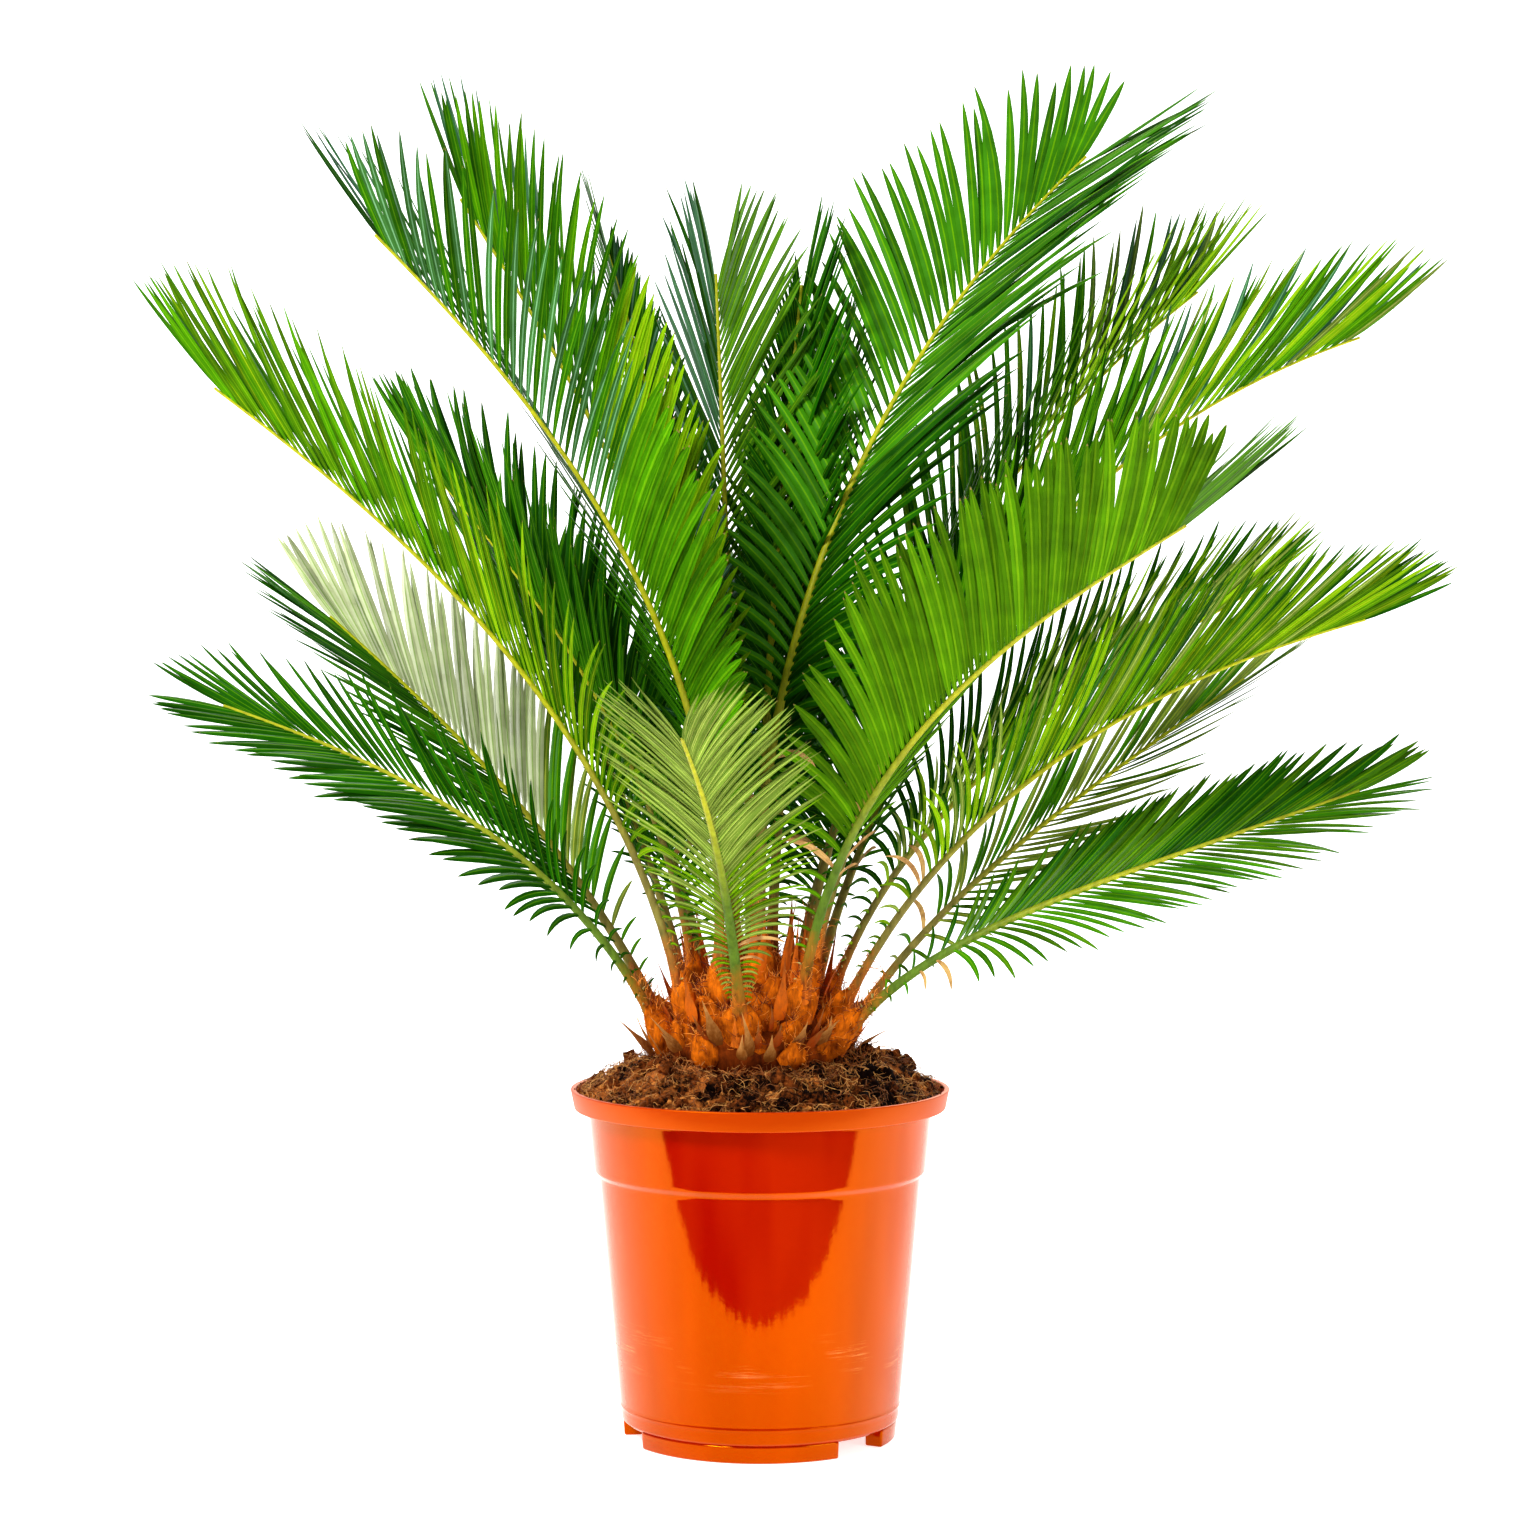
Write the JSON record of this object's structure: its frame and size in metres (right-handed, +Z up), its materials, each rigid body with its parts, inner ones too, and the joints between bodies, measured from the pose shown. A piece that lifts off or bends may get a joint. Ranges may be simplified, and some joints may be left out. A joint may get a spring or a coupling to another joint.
{
  "type": "potted sago palm",
  "caption": "Young sago palm: a rosette of arching feather-shaped fronds on a short scaly caudex, growing in a round plastic nursery pot filled with soil.",
  "frame": {"origin": "centre of the pot's underside, on the pot's axis", "axes": "+Z up along the pot's axis, -Y towards the plant's front, +X to its right"},
  "size_m": [0.6356, 0.5538, 0.7083],
  "materials": {
    "pot_plastic": "gloss",
    "potting_soil": "matte",
    "caudex_scales": "matte",
    "front_frond": "satin",
    "left_frond": "satin",
    "right_frond": "satin",
    "back_frond": "satin"
  },
  "bodies": {
    "root": {"pot": "pot_plastic", "soil": "potting_soil", "caudex": "caudex_scales", "frond_front": "front_frond", "frond_left_1": "left_frond", "frond_left_2": "left_frond", "frond_left_3": "left_frond", "frond_left_4": "left_frond", "frond_left_5": "left_frond", "frond_left_6": "left_frond", "frond_right_1": "right_frond", "frond_right_2": "right_frond", "frond_right_3": "right_frond", "frond_right_4": "right_frond", "frond_right_5": "right_frond", "frond_right_6": "right_frond", "frond_right_7": "right_frond", "frond_right_8": "right_frond", "frond_back_1": "back_frond", "frond_back_2": "back_frond", "frond_back_3": "back_frond", "frond_back_4": "back_frond", "frond_back_5": "back_frond", "frond_back_6": "back_frond", "frond_back_7": "back_frond", "frond_back_8": "back_frond", "frond_back_9": "back_frond"}
  },
  "joints": []
}
